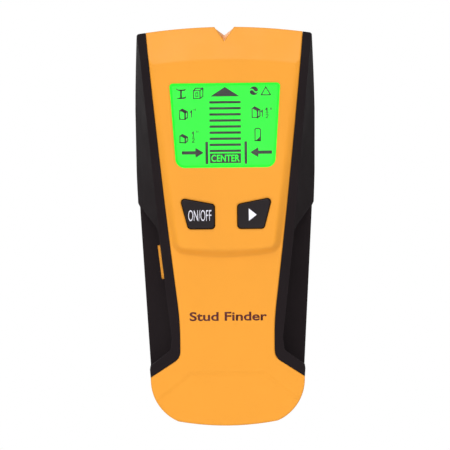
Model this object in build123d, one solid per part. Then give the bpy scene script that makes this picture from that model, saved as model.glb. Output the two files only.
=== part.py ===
"""Handheld stud finder: a wall scanner with a display, two front keys, a side scan key and a 9 V battery.

Every piece is drawn with the tool lying on its back, in millimetres: x across, y along the tool towards
the marking notch, z out of the display, with z = 0 on the flat sensing face. stand() then turns each piece
upright into the part's own frame: x across, z along the tool, and y into the wall behind the sensing face.
"""

import os
from math import atan2, cos, pi, sin

from build123d import *

# ---------------------------------------------------------------- driving dimensions
TOP = 81.3  # notch end
BOTTOM = -82.3  # rounded end
PARTING_Z = 11.0  # height of the joint between the rear and front shells
PLATEAU_Z = 32.2  # flat panel round the display and keys
KEY_TOP_Z = 33.0  # top of the two front keys, the tool's full thickness
FACE_TOP_Y = 66.0  # where the sloping face is highest
FACE_STEP = 1.0  # how far the face lies below the raised panel there
FACE_SLOPE = 0.022  # drop of the face per millimetre towards the rounded end
WALL = 2.4  # side wall of the housing, with or without the grip on it
SKIN = 1.2  # thickness of the rubber grip
FLOOR = 2.0  # thickness of the sensing face
GAP = 0.15  # clearance between fixed pieces
FAR = 100.0  # farther than any side of the tool, for cutting solids
SLAB = 30.0  # thickness of what cuts a whole face
PAST = 36.0  # higher than the tool's front

# outline, right half
SIDE_TOP = (35.95, 78.58)
SIDE_WIDEST = (37.0, 45.0)
SIDE_STEP_TOP = (36.2, 9.4)
SIDE_STEP_LOW = (35.4, 7.8)
SIDE_LIP_TOP = (31.65, -57.3)
SIDE_LIP_LOW = (31.9, -59.0)
FOOT_START = (31.6, -63.0)
FOOT_RADIUS = 19.5
FOOT_END = (20.4, -80.4)

# shallow step across the foot, right half
FOOT_CREASE_Y = -59.9
FOOT_CREASE_HALF = 15.2
FOOT_CORNER = (28.0, -70.0)
FOOT_TILT = 0.2  # slope of the step
FOOT_STEP = 0.3  # its height

# sloping band under the notch
BAND_WIDTH = 13.3
BAND_DROP = 3.94

# pencil notch
NOTCH_HALF = 3.9  # half its width at the end of the tool
NOTCH_FRONT = 6.3  # its depth at the front
NOTCH_PARTING = 2.9  # its depth at the joint between the shells
NOTCH_REAR = 3.6  # its depth in the rear shell
NOTCH_WALL = 7.0  # half width of the solid wall behind it
NOTCH_WALL_Y = 72.3  # inner side of that wall

# edge between the orange face and the black grips, right half
EDGE_TOP = (32.6, 84.0)
EDGE_MIDDLE = (26.1, 18.7)
EDGE_LOW = (20.2, -32.0)
EDGE_END = (19.3, -46.5)
EDGE_CORNER = (19.3, -54.45)
EDGE_FOOT = (36.0, -65.2)
EDGE_CORNER_RADIUS = 5.0

# flank of the right grip: how far out it lies halfway along the tool, and its growth per millimetre
FLANK_TOP = (27.9, 0.0987)
FLANK_LOW = (36.5, 0.0101)

# finger recess in each grip, right half
WALL_TOP = (28.0, -1.5)
WALL_LOW = (22.8, -46.0)
RECESS_RISE = (35.2, 8.0)
RECESS_FOOT = (23.4, -51.4)
RECESS_FOOT_END = (32.0, -57.7)
RECESS_FLOOR = 19.5  # height of the recess's floor at its wall
RECESS_EDGE = 13.6  # height of the recess's floor at its outer edge
RECESS_MIDDLE = (4.6, 15.8)  # a point of the hollow floor: distance from the wall, height
RECESS_REACH = 12.0  # width of the hollow floor
RECESS_PAST = 45.0  # how far the recess is cut past its wall
RECESS_RUN = 120.0  # length over which the floor's section is drawn out

# display window, half outline
WINDOW_TOP_Y = 58.2
WINDOW_LOW_Y = 23.5
WINDOW_TOP_HALF = 22.8
WINDOW_LOW_HALF = 20.3
WINDOW_TOP_RADIUS = 1.4
WINDOW_LOW_RADIUS = 3.8

# raised panel, right half: the foot of its skirt, then its top edge
PANEL_CORNER = ((22.7, -11.2), (19.0, -8.9))
PANEL_MIDDLE_Y = (-13.8, -9.7)
PANEL_FAR = ((39.6, 88.0), (31.6, 88.0))
PANEL_RADIUS = (6.5, 2.4)
PANEL_FOOT_Z = 29.3

# shells, battery and its door
REAR_SCALE = 0.992  # the rear shell's outline, stepped in behind the front one
REAR_INNER_SCALE = 0.93  # the outline of its hollow
CAVITY_DROP = 1.7  # thickness of the front face over the cavity
BATTERY = (26.5, 48.5, 17.5)
BATTERY_Y = -15.5  # terminal end of the battery
BATTERY_Z = 3.0  # underside of the battery
DOOR_HALF = 15.8
DOOR_THICK = 2.4
DOOR_Y = -12.8  # inner end of the door
TONGUE = 1.5  # how far the door's tongues stand out
TONGUE_Z = 1.3  # underside of the tongues
TONGUE_END = -77.5
DOOR_RIDGES = 6
DOOR_RIDGE_PITCH = 2.2
GUIDE_HALF = 19.0  # half width of the thick strip that guides the door
GUIDE_Y = -11.0  # its inner end
SNAP_ROOM = 6.4  # room for the battery's cap
CLEAR = 0.3  # clearance round a moving piece
BAY_ROOF_Z = 3.9

# boards and display stack
SENSOR_Z = 3.0
SENSOR_THICK = 1.2
MAIN_Z = 20.0
MAIN_TOP = 21.6
GLASS_Z = 28.2
LENS_Z = 30.0
LENS_TOP = 31.6
DISPLAY = (-24.0, 24.0, 21.0, 61.0)

# keys
FLANGE_Z = 26.8
FLANGE_THICK = 0.8
SWITCH_TOP = 25.6
PLUNGER_RADIUS = 1.75
KEY_CENTRE = (10.9, 4.2)
KEY_DISH = 0.25  # depth of the hollow in each front key's top
KEY_DISH_RADIUS = 100.0
INK_GAP = 0.12  # room under the window, inside its rim
SCAN_Y = -14.9  # middle of the scan key along the tool
SCAN_Z = 24.2
SCAN_LONG = 13.9
SCAN_HIGH = 4.4
SCAN_PROUD = 1.0

# posts, ribs and screws
FRONT_POST = 3.0
REAR_POST = 3.8
BOARD_POST = 2.4
POST_TOP = 27.0
BATTERY_RIBS = (-58.0, -41.0, -24.0)
RIB_HALF = 12.0
RIB_TOP = 28.0
SENSOR_POSTS = [(-20.0, 17.0), (20.0, 17.0), (-20.0, 70.5), (20.0, 70.5)]
CASE_HEAD = 2.5
CASE_HEAD_TOP = 3.0
CASE_THREAD = 1.2
CASE_SCREW_END = 20.0
BOARD_HEAD = 1.8
BOARD_THREAD = 0.85
BOARD_SCREW_END = 12.5
CROSS_HALF = 0.3  # half width of a screw's cross slot
CASE_SCREWS = [(-28.5, 70.0), (28.5, 70.0), (-23.2, -66.0), (23.2, -66.0)]
BOARD_SCREWS = [(-26.2, 56.0), (26.2, 56.0), (-17.5, -2.8), (17.5, -2.8)]
LEAD_X = 6.35  # half the spacing of the battery's terminals


def stand(shape):
    """Turns a piece drawn lying on its back upright, the middle of the tool's length at the origin."""
    return Rot(X=90) * Pos(0, -(TOP + BOTTOM) / 2, 0) * shape


def prism(face, low, high):
    """The solid over a face drawn on z = 0, from height low to height high."""
    return extrude(Pos(0, 0, low) * face, high - low, dir=(0, 0, 1))


def block(x0, x1, y0, y1, z0, z1):
    """A box between the given sides."""
    return Pos(x0, y0, z0) * Box(x1 - x0, y1 - y0, z1 - z0, align=(Align.MIN, Align.MIN, Align.MIN))


def rod(x, y, radius, z0, z1):
    """An upright cylinder."""
    return Pos(x, y, z0) * Cylinder(radius, z1 - z0, align=(Align.CENTER, Align.CENTER, Align.MIN))


def above(plane):
    """A wide slab lying on a plane, for cutting solids."""
    return plane * Box(FAR * 4, FAR * 4, SLAB, align=(Align.CENTER, Align.CENTER, Align.MIN))


def both(shape):
    """A shape and its mirror image across the tool's middle."""
    return shape + mirror(shape, about=Plane.YZ)


def face_height(y):
    """Height of the sloping front face."""
    return PLATEAU_Z - FACE_STEP - FACE_SLOPE * (FACE_TOP_Y - y)


# ---------------------------------------------------------------- outlines
def planform():
    """Outline of the tool seen from the front, without the notch."""
    turn = 0.72  # radians from the foot's start to the arc's middle point
    centre = (FOOT_START[0] - FOOT_RADIUS, FOOT_START[1])
    foot_middle = (centre[0] + FOOT_RADIUS * cos(turn), centre[1] - FOOT_RADIUS * sin(turn))
    side = Curve() + [
        ThreePointArc(SIDE_TOP, SIDE_WIDEST, SIDE_STEP_TOP),
        Line(SIDE_STEP_TOP, SIDE_STEP_LOW),
        Line(SIDE_STEP_LOW, SIDE_LIP_TOP),
        Line(SIDE_LIP_TOP, SIDE_LIP_LOW),
        Line(SIDE_LIP_LOW, FOOT_START),
        ThreePointArc(FOOT_START, foot_middle, FOOT_END),
    ]
    ends = Curve() + [
        ThreePointArc((-SIDE_TOP[0], SIDE_TOP[1]), (0, TOP), SIDE_TOP),
        ThreePointArc((-FOOT_END[0], FOOT_END[1]), (0, BOTTOM), FOOT_END),
    ]
    face = make_face(side + mirror(side, about=Plane.YZ) + ends)
    corners = face.vertices().filter_by(lambda v: v.Y > SIDE_TOP[1] - 1)
    face = fillet(corners, 1.2)
    kinks = face.vertices().filter_by(lambda v: abs(v.Y - FOOT_END[1]) < 0.1)
    return fillet(kinks, 3.0)


def grip_zone():
    """Region of the right grip seen from the front, running past the outline."""
    upper = ThreePointArc(EDGE_TOP, EDGE_MIDDLE, EDGE_LOW)
    lower = TangentArc(EDGE_LOW, EDGE_END, tangent=upper % 1)
    past_side, past_end = 50, 90
    rest = Polyline(
        EDGE_END,
        EDGE_CORNER,
        EDGE_FOOT,
        (past_side, EDGE_FOOT[1]),
        (past_side, past_end),
        (EDGE_TOP[0], past_end),
        EDGE_TOP,
    )
    face = make_face(Curve() + [upper, lower, rest])
    corner = face.vertices().sort_by_distance((*EDGE_CORNER, 0))[0]
    return fillet(corner, EDGE_CORNER_RADIUS)


def window():
    """Outline of the display window."""
    face = make_face(
        Polyline(
            (-WINDOW_TOP_HALF, WINDOW_TOP_Y),
            (WINDOW_TOP_HALF, WINDOW_TOP_Y),
            (WINDOW_LOW_HALF, WINDOW_LOW_Y),
            (-WINDOW_LOW_HALF, WINDOW_LOW_Y),
            close=True,
        )
    )
    face = fillet(face.vertices().group_by(Axis.Y)[-1], WINDOW_TOP_RADIUS)
    low = face.vertices().filter_by(lambda v: v.Y < WINDOW_LOW_Y + 0.01)
    return fillet(low, WINDOW_LOW_RADIUS)


# ---------------------------------------------------------------- solids that shape the housing
def above_face(drop=0.0):
    """Everything above the sloping front face, lowered by drop."""
    origin = (0, FACE_TOP_Y, face_height(FACE_TOP_Y) - drop)
    return above(Plane(origin=origin, x_dir=(1, 0, 0), z_dir=(0, -FACE_SLOPE, 1)))


def top_bevel(drop=0.0):
    """The ring that cuts the sloping band under the notch, concentric with the top edge."""
    chord, sagitta = SIDE_TOP[0], TOP - SIDE_TOP[1]
    radius = (chord**2 + sagitta**2) / (2 * sagitta)
    slope = BAND_DROP / BAND_WIDTH
    past = 12.0
    section = Plane.XZ * make_face(
        Polyline(
            (radius - BAND_WIDTH - past, PLATEAU_Z - drop + past * slope),
            (radius + past, PLATEAU_Z - drop - BAND_DROP - past * slope),
            (radius + past, PLATEAU_Z + past),
            (radius - BAND_WIDTH - past, PLATEAU_Z + past),
            close=True,
        )
    )
    return Pos(0, TOP - radius, 0) * revolve(Rot(Z=45) * section, Axis.Z, 90)


def foot_step(drop=0.0):
    """What leaves the rounded end a little lower than the face, behind a soft crease of three lines."""
    turn = atan2(FOOT_CORNER[0] - FOOT_CREASE_HALF, FOOT_CREASE_Y - FOOT_CORNER[1])
    cut = above_face(drop + FOOT_STEP)
    for x, side in ((0, 0), (FOOT_CREASE_HALF, pi / 2 - turn), (-FOOT_CREASE_HALF, turn - pi / 2)):
        down = Vector(-sin(side), -cos(side), 0)
        along = Vector(-down.Y, down.X, 0)
        normal = down * FOOT_TILT + Vector(0, -FACE_SLOPE, 1)
        origin = (x, FOOT_CREASE_Y, face_height(FOOT_CREASE_Y) - drop)
        cut &= above(Plane(origin=origin, x_dir=along, z_dir=normal))
    return cut


def side_slope(shift=0.0):
    """What leaves the slanting flank of the right grip above its finger recess."""

    def section(y):
        inner = Vector(FLANK_TOP[0] + FLANK_TOP[1] * y - shift, face_height(y))
        outer = Vector(FLANK_LOW[0] + FLANK_LOW[1] * y - shift, PARTING_Z)
        past = inner + (inner - outer) * 0.4
        points = [(past.X, past.Y), (outer.X, outer.Y), (FAR, outer.Y), (FAR, past.Y)]
        return Plane(origin=(0, y, 0), x_dir=(1, 0, 0), z_dir=(0, -1, 0)) * make_face(
            Polyline(*points, close=True)
        )

    return loft([section(-30), section(95)], ruled=True)


def finger_recess(shift=0.0):
    """What leaves the finger recess of the right grip: a wall, a hollow floor and slanting ends."""
    rise = Vector(*RECESS_RISE) + (Vector(*RECESS_RISE) - Vector(*WALL_TOP)) * 2.5
    foot = Vector(*RECESS_FOOT_END) + (Vector(*RECESS_FOOT_END) - Vector(*RECESS_FOOT)) * 2
    rise, foot = (rise.X, rise.Y), (foot.X, foot.Y)
    region = make_face(
        Polyline(
            WALL_LOW,
            WALL_TOP,
            RECESS_RISE,
            rise,
            (FAR, rise[1]),
            (FAR, foot[1]),
            foot,
            RECESS_FOOT,
            close=True,
        )
    )
    region = fillet(region.vertices().sort_by_distance((*WALL_TOP, 0))[0], 8.0)
    region = fillet(region.vertices().sort_by_distance((*RECESS_FOOT, 0))[0], 2.5)
    if shift:
        region = offset(region, shift, kind=Kind.INTERSECTION)
    outward = Vector(WALL_TOP[1] - WALL_LOW[1], WALL_LOW[0] - WALL_TOP[0], 0).normalized()
    along = Vector(WALL_TOP[0] - WALL_LOW[0], WALL_TOP[1] - WALL_LOW[1], 0).normalized()
    start = Vector(WALL_LOW[0], WALL_LOW[1], 0) - along * 40 - outward * shift
    at = Plane(origin=start - Vector(0, 0, shift), x_dir=outward, z_dir=along)
    # at's own y axis points down, because x is outward and z runs along the tool
    flip = -1 if at.y_dir.Z < 0 else 1
    inside = (-0.6, flip * RECESS_FLOOR)
    outside = (RECESS_REACH, flip * RECESS_EDGE)
    floor_arc = ThreePointArc(inside, (RECESS_MIDDLE[0], flip * RECESS_MIDDLE[1]), outside)
    rest = Polyline(
        outside,
        (RECESS_PAST, flip * (RECESS_EDGE - 0.4)),
        (RECESS_PAST, flip * (FAR / 2)),
        (-RECESS_FLOOR, flip * (FAR / 2)),
        (-RECESS_FLOOR, flip * RECESS_FLOOR),
        inside,
    )
    above_floor = extrude(at * make_face(Curve() + [floor_arc, rest]), RECESS_RUN, dir=along)
    return prism(region, 0, FAR * 0.6) & above_floor


def panel_outline(share):
    """Outline of the raised panel, from the foot of its skirt (share 0) to its top edge (share 1)."""

    def between(pair):
        return pair[0] + (pair[1] - pair[0]) * share

    corner = tuple(between(pair) for pair in zip(*PANEL_CORNER))
    far = tuple(between(pair) for pair in zip(*PANEL_FAR))
    low = ThreePointArc((-corner[0], corner[1]), (0, between(PANEL_MIDDLE_Y)), corner)
    rest = Polyline(corner, far, (-far[0], far[1]), (-corner[0], corner[1]))
    face = make_face(Curve() + [low, rest])
    return fillet(face.vertices().filter_by(lambda v: v.Y < 0), between(PANEL_RADIUS))


def plateau():
    """Raised panel round the display and keys, with a soft S-shaped skirt."""
    sections = []
    steps = 6
    for step in range(steps + 1):
        share = step / steps
        smooth = share * share * (3 - 2 * share)
        height = PANEL_FOOT_Z + (PLATEAU_Z - PANEL_FOOT_Z) * smooth
        sections.append(Pos(0, 0, height) * panel_outline(share))
    return loft(sections) + prism(panel_outline(0), PANEL_FOOT_Z - 4, PANEL_FOOT_Z)


def vee(depth, lead=6.0):
    """Triangle of that depth at the notch end, as wide there for every depth."""
    reach = NOTCH_HALF * (depth + lead) / depth
    return make_face(Polyline((0, TOP - depth), (reach, TOP + lead), (-reach, TOP + lead), close=True))


def front_notch():
    """The V for a pencil in the front shell, deeper at the front."""
    low = Pos(0, 0, PARTING_Z - 1) * vee(NOTCH_PARTING)
    high = Pos(0, 0, PLATEAU_Z) * vee(NOTCH_FRONT)
    return loft([low, high], ruled=True) + prism(vee(NOTCH_FRONT), PLATEAU_Z, PAST)


def body(inset=0.0, drop=0.0):
    """The front half's outer form, or that form drawn in by inset at the sides and drop at the face."""
    outline = scale(planform(), 1 - inset / SIDE_WIDEST[0])
    solid = prism(outline, PARTING_Z, PAST) - above_face(drop)
    return solid - foot_step(drop)


def form(shift=0.0, drop=None):
    """The front half's outer form with its flanks and recesses, all drawn in by shift."""
    drop = shift if drop is None else drop
    solid = body(shift, drop)
    for cut in (side_slope(shift), finger_recess(shift)):
        solid -= cut
        solid -= mirror(cut, about=Plane.YZ)
    return solid - top_bevel(drop)


def rear_form():
    """The rear half's outer form."""
    solid = prism(scale(planform(), REAR_SCALE), 0, PARTING_Z)
    return fillet(solid.edges().group_by(Axis.Z)[0], 1.2)


def key_outline():
    """Outline of the right key."""
    face = make_face(Polyline((4.8, 8.3), (18.7, 11.0), (15.4, -1.4), (4.8, -1.4), close=True))
    return fillet(face.vertices(), 1.3)


def scan_plane():
    """Plane on the left recess's wall at the middle of the scan key, looking out of the tool."""
    run = Vector(WALL_TOP[0] - WALL_LOW[0], WALL_TOP[1] - WALL_LOW[1], 0)
    share = (SCAN_Y - WALL_LOW[1]) / run.Y
    x = WALL_LOW[0] + run.X * share
    along = Vector(-run.X, run.Y, 0).normalized()
    return Plane(origin=(-x, SCAN_Y, SCAN_Z), x_dir=along, z_dir=(-along.Y, along.X, 0))


def scan_box(long, high, low, top, radius=1.4):
    """A block with rounded corners on the scan key's plane."""
    return scan_plane() * prism(RectangleRounded(long, high, radius), low, top)


# ---------------------------------------------------------------- housing
def front_and_grips():
    """The orange shell and the two rubber grips."""
    outer = form()
    skin = outer - form(SKIN)
    zone = prism(grip_zone(), PARTING_Z - 1, PAST)
    trimmed = prism(offset(grip_zone(), -GAP, kind=Kind.INTERSECTION), PARTING_Z - 1, PAST)
    right = skin & trimmed
    gouge = skin & zone
    cavity = form(SKIN + WALL, CAVITY_DROP) - block(-NOTCH_WALL, NOTCH_WALL, NOTCH_WALL_Y, FAR, 0, PAST)
    shell = outer - gouge - mirror(gouge, about=Plane.YZ)
    raised = plateau() & prism(planform(), PARTING_Z, PAST)
    shell += raised - both(zone) - top_bevel()
    shell -= cavity
    x0, x1, y0, y1 = DISPLAY
    room = 0.4
    shell -= block(x0 - room, x1 + room, y0 - room, y1 + room, GLASS_Z - 3, LENS_Z)
    for x, y in CASE_SCREWS:
        shell += rod(x, y, FRONT_POST, PARTING_Z, POST_TOP) & form(SKIN + 0.5, CAVITY_DROP - 0.6)
    for y in BATTERY_RIBS:
        shell += block(-RIB_HALF, RIB_HALF, y - 0.8, y + 0.8, BATTERY_Z + BATTERY[2], RIB_TOP)
    shell += scan_plane() * Pos(0, -0.6, -10.8) * Box(15, 8.4, 2)
    shell -= prism(window(), MAIN_Z, PAST)
    openings = prism(offset(key_outline(), CLEAR), MAIN_Z, PAST)
    shell -= both(openings)
    shell -= front_notch()
    for x, y in CASE_SCREWS:
        shell -= rod(x, y, CASE_THREAD + 0.05, PARTING_Z - 1, CASE_SCREW_END + 1)
    scan_hole = scan_box(SCAN_LONG + 2 * CLEAR, SCAN_HIGH + 2 * CLEAR, -4.0, 3.0, 1.6)
    shell -= scan_hole
    left = mirror(right, about=Plane.YZ) - scan_hole
    return shell, left, right


def door_form(side, low):
    """Plan of the door's plate and tongues, for the door itself and, with room added, for its slot."""
    plate = block(-DOOR_HALF - side, DOOR_HALF + side, -FAR, DOOR_Y + side, -1, DOOR_THICK + side)
    half = DOOR_HALF + TONGUE + side
    end = -FAR if side else TONGUE_END
    return plate + block(-half, half, end, DOOR_Y + side, TONGUE_Z - low, DOOR_THICK + side)


def rear_shell():
    """The black rear shell with its sensing face, posts and battery bay."""
    outer = rear_form()
    inside = prism(scale(planform(), REAR_INNER_SCALE), FLOOR, 20)
    shell = outer - (inside - block(-NOTCH_WALL, NOTCH_WALL, NOTCH_WALL_Y, FAR, 0, PAST))
    shell += block(-GUIDE_HALF, GUIDE_HALF, BOTTOM, GUIDE_Y, 0.6, BAY_ROOF_Z) & outer
    half = BATTERY[0] / 2 + 0.4
    low, high = BATTERY_Y - BATTERY[1] - 0.6, BATTERY_Y + SNAP_ROOM
    wall = 1.2
    shell += block(-half - wall, half + wall, low - wall, high + wall, BAY_ROOF_Z - 0.5, PARTING_Z - 0.5)
    for x, y in CASE_SCREWS:
        shell += rod(x, y, REAR_POST, FLOOR / 2, PARTING_Z)
    for x, y in BOARD_SCREWS:
        shell += rod(x, y, BOARD_POST, FLOOR / 2, MAIN_Z)
    for x, y in SENSOR_POSTS:
        shell += rod(x, y, 2.0, FLOOR / 2, SENSOR_Z)
    shell -= block(-half, half, low, high, DOOR_THICK, MAIN_Z)
    shell -= door_form(CLEAR, CLEAR)
    for x, y in CASE_SCREWS:
        shell -= rod(x, y, CASE_HEAD + CLEAR, -1, CASE_HEAD_TOP)
        shell -= rod(x, y, CASE_THREAD + CLEAR, -1, MAIN_Z)
    for x, y in BOARD_SCREWS:
        shell -= rod(x, y, BOARD_THREAD + 0.05, BOARD_SCREW_END - 1.5, PAST)
    return shell - prism(vee(NOTCH_REAR), -1, PARTING_Z + 1)


def battery_door():
    """The sliding door, with ridges for a thumb."""
    door = door_form(0.0, 0.0) & rear_form()
    for step in range(DOOR_RIDGES):
        y = DOOR_Y - 9.2 - DOOR_RIDGE_PITCH * step
        door -= block(-7, 7, y - 0.5, y + 0.5, -1, 0.5)
    return door


# ---------------------------------------------------------------- keys
def front_key():
    """The right front key: its cap with the flange that holds it in."""
    cap = prism(key_outline(), FLANGE_Z, KEY_TOP_Z)
    cap = fillet(cap.edges().group_by(Axis.Z)[-1], 0.45)
    cap -= Pos(*KEY_CENTRE, KEY_TOP_Z - KEY_DISH + KEY_DISH_RADIUS) * Sphere(KEY_DISH_RADIUS)
    return cap + prism(offset(key_outline(), 1.0), FLANGE_Z, FLANGE_Z + FLANGE_THICK)


def key_plunger():
    """Plunger between the right key and its switch."""
    return rod(*KEY_CENTRE, PLUNGER_RADIUS, SWITCH_TOP - 0.6, FLANGE_Z)


def key_switch():
    """Switch under the right key."""
    x, y = KEY_CENTRE
    case = block(x - 3, x + 3, y - 3, y + 3, MAIN_TOP, SWITCH_TOP)
    case = chamfer(case.edges().filter_by(Axis.Z), 0.5)
    return case - rod(x, y, PLUNGER_RADIUS + CLEAR, SWITCH_TOP - 2.6, 30)


def scan_key():
    """The side key on the left grip."""
    cap = scan_box(SCAN_LONG, SCAN_HIGH, -4.8, SCAN_PROUD)
    return cap + scan_box(SCAN_LONG + 1.6, SCAN_HIGH + 1.4, -4.8, -4.0)


def scan_plunger():
    """Plunger between the scan key and its switch."""
    return scan_plane() * prism(Circle(1.4), -6.5, -4.8)


def scan_switch():
    """Switch under the scan key."""
    case = scan_plane() * prism(RectangleRounded(5.2, 4.6, 0.4), -8.6, -5.9)
    return case - scan_plane() * prism(Circle(1.4 + CLEAR), -7.7, -5.0)


def side_pcb():
    """Small board that carries the scan switch."""
    return scan_plane() * Pos(0, 0, -9.2) * Box(14.6, 6.0, 1.2)


# ---------------------------------------------------------------- display
def display_frame():
    """Plastic frame that carries the display on the main board."""
    x0, x1, y0, y1 = DISPLAY
    frame = block(x0, x1, y0, y1, MAIN_TOP, GLASS_Z)
    frame -= block(x0 + 1.2, x1 - 1.2, y0 + 4.4, y1 - 1.4, MAIN_TOP + 1.6, 40)
    return frame - block(x0 + 2.4, x1 - 2.4, y0 + 1.1, y0 + 3.3, 20, 40)


def backlight():
    """Light guide with its steps for the side lamps."""
    x0, x1, y0, y1 = DISPLAY
    low = MAIN_TOP + 1.6
    guide = block(x0 + 1.4, x1 - 1.4, y0 + 4.6, y1 - 1.6, low, GLASS_Z - 0.3)
    for y in (30.0, 41.0, 52.0):
        guide -= block(x0 + 1.3, x0 + 2.4, y - 1.5, y + 1.5, low - 1, low + 2)
        guide -= block(x1 - 2.4, x1 - 1.3, y - 1.5, y + 1.5, low - 1, low + 2)
    return guide


def zebra_strip():
    """Rubber contact strip between the main board and the display glass."""
    x0, x1, y0, _ = DISPLAY
    return block(x0 + 2.5, x1 - 2.5, y0 + 1.2, y0 + 3.2, MAIN_TOP, GLASS_Z)


def display_glass():
    """The two bonded panes of the display, the rear one longer to carry its contacts."""
    x0, x1, y0, y1 = DISPLAY
    rear = block(x0, x1, y0, y1, GLASS_Z, GLASS_Z + 0.9)
    return rear + block(x0, x1, y0 + 0.6, y1, GLASS_Z + 0.9, LENS_Z)


def lens():
    """Clear window set into the raised panel."""
    pane = prism(offset(window(), -GAP), LENS_Z, LENS_TOP)
    pane = chamfer(pane.edges().group_by(Axis.Z)[-1], 0.25)
    return pane - prism(offset(window(), -0.9), LENS_Z - 1, LENS_Z + INK_GAP)


# ---------------------------------------------------------------- boards
def main_pcb():
    """Board under the display and the front keys."""
    half = [(28.2, 62), (28.2, 13), (21.0, 5.0), (21.0, -5.5)]
    points = half + [(-x, y) for x, y in reversed(half)]
    board = prism(make_face(Polyline(*points, close=True)), MAIN_Z, MAIN_TOP)
    for x, y in BOARD_SCREWS:
        board -= rod(x, y, 1.1, 0, 40)
    return board


def chips():
    """Integrated circuits on the underside of the main board, with their pins."""
    pieces = []
    sizes = ((-9, 36, 10, 10, 8), (12, 50, 5, 8.6, 7), (-16, 14, 5, 5, 4), (2, 6, 5, 6.2, 4))
    for x, y, wide, long, pins in sizes:
        case = block(x - wide / 2, x + wide / 2, y - long / 2, y + long / 2, MAIN_Z - 1.6, MAIN_Z - 0.1)
        case = chamfer(case.edges().group_by(Axis.Z)[0], 0.25)
        for index in range(pins):
            at = y + (index - (pins - 1) / 2) * (long - 1.2) / (pins - 1)
            for side in (-1, 1):
                inner, outer = sorted((x + side * (wide / 2 - 0.3), x + side * (wide / 2 + 1.0)))
                case += block(inner, outer, at - 0.2, at + 0.2, MAIN_Z - 0.5, MAIN_Z)
        pieces.append(case)
    return Compound(pieces)


def small_components():
    """Chip resistors and capacitors in rows, and two round capacitors, under the main board."""
    pieces = []
    for row, y in enumerate((24.0, 27.0, 46.0)):
        for index in range(5):
            x = -22.0 + 3.4 * index + row
            pieces.append(block(x - 1.0, x + 1.0, y - 0.6, y + 0.6, MAIN_Z - 0.6, MAIN_Z))
    for x, y in ((20.0, 22.0), (20.0, 30.0)):
        can = rod(x, y, 2.5, MAIN_Z - 5.4, MAIN_Z)
        pieces.append(fillet(can.edges().group_by(Axis.Z)[0], 0.4))
    return Compound(pieces)


def trimmer():
    """Adjuster with its screw slot."""
    x, y = -20.2, 53.5
    case = block(x - 3.3, x + 3.2, y - 3.5, y + 3.5, MAIN_Z - 4.0, MAIN_Z)
    case = chamfer(case.edges().group_by(Axis.Z)[0], 0.4)
    case -= rod(x, y, 2.2, MAIN_Z - 5, MAIN_Z - 3.4)
    rotor = rod(x, y, 1.8, MAIN_Z - 3.9, MAIN_Z - 3.3)
    rotor -= block(x - 2.8, x + 2.2, y - 0.3, y + 0.3, MAIN_Z - 5, MAIN_Z - 3.6)
    return case + rotor


def buzzer():
    """Round sounder with its sound hole."""
    x, y = 12.0, 38.0
    case = rod(x, y, 6.0, MAIN_Z - 6.0, MAIN_Z)
    case = fillet(case.edges().group_by(Axis.Z)[0], 0.6)
    return case - rod(x, y, 1.1, MAIN_Z - 7, MAIN_Z - 3.5)


def header():
    """Socket strip and pins joining the two boards."""
    strip = block(-10.4, 10.4, 15.4, 18.0, SENSOR_Z + SENSOR_THICK, 12.0)
    pins = []
    for index in range(8):
        x = -8.89 + 2.54 * index
        pin = block(x - 0.32, x + 0.32, 16.38, 17.02, SENSOR_Z + SENSOR_THICK, MAIN_Z)
        pins.append(pin)
        strip -= pin
    return strip, Compound(pins)


def sensor_pcb():
    """Board that lies over the sensing face."""
    half = [(8.5, 71.0), (8.5, 73.5), (23.0, 73.5), (23.0, 14.0)]
    points = half + [(-x, y) for x, y in reversed(half)]
    return prism(make_face(Polyline(*points, close=True)), SENSOR_Z, SENSOR_Z + SENSOR_THICK)


def sensor_plates():
    """Copper plates under the sensing board."""
    half, long, thick = 16.5, 10.5, 0.2
    starts = (20.0, 32.5, 45.0, 57.5)
    return Compound([block(-half, half, y, y + long, SENSOR_Z - thick, SENSOR_Z) for y in starts])


def bobbin_and_coil():
    """Bobbin with its winding for finding metal."""
    base = SENSOR_Z + SENSOR_THICK
    bore, drum, rim, flange, high = 4.0, 9.0, 13.0, 1.0, 7.0
    lower = [(bore, 0), (rim, 0), (rim, flange), (drum, flange)]
    upper = [(drum, high - flange), (rim, high - flange), (rim, high), (bore, high)]
    core = revolve(Plane.XZ * make_face(Polyline(*lower, *upper, close=True)), Axis.Z)
    winding = revolve(Plane.XZ * Pos(10.9, 3.5) * RectangleRounded(3.8, 4.96, 0.8), Axis.Z)
    return Pos(0, 50, base) * core, Pos(0, 50, base) * winding


# ---------------------------------------------------------------- battery
def battery():
    """Battery can, end plate and terminals."""
    wide, long, deep = BATTERY
    end = BATTERY_Y
    middle = BATTERY_Z + deep / 2
    can = block(-wide / 2, wide / 2, end - long, end - 1.6, BATTERY_Z, BATTERY_Z + deep)
    can = fillet(can.edges().filter_by(Axis.Y), 2.0)
    half = wide / 2 - 0.5
    plate = block(-half, half, end - 1.6, end, BATTERY_Z + 0.5, BATTERY_Z + deep - 0.5)
    plate = fillet(plate.edges().filter_by(Axis.Y), 1.6)
    along = Plane(origin=(0, end, middle), x_dir=(1, 0, 0), z_dir=(0, 1, 0))
    stud = prism(Circle(2.85), 0, 2.9)
    cup = prism(Circle(4.1) - Circle(3.1), 0, 2.9)
    terminals = along * Compound([Pos(-LEAD_X, 0, 0) * stud, Pos(LEAD_X, 0, 0) * cup])
    return can, plate, terminals


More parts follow.
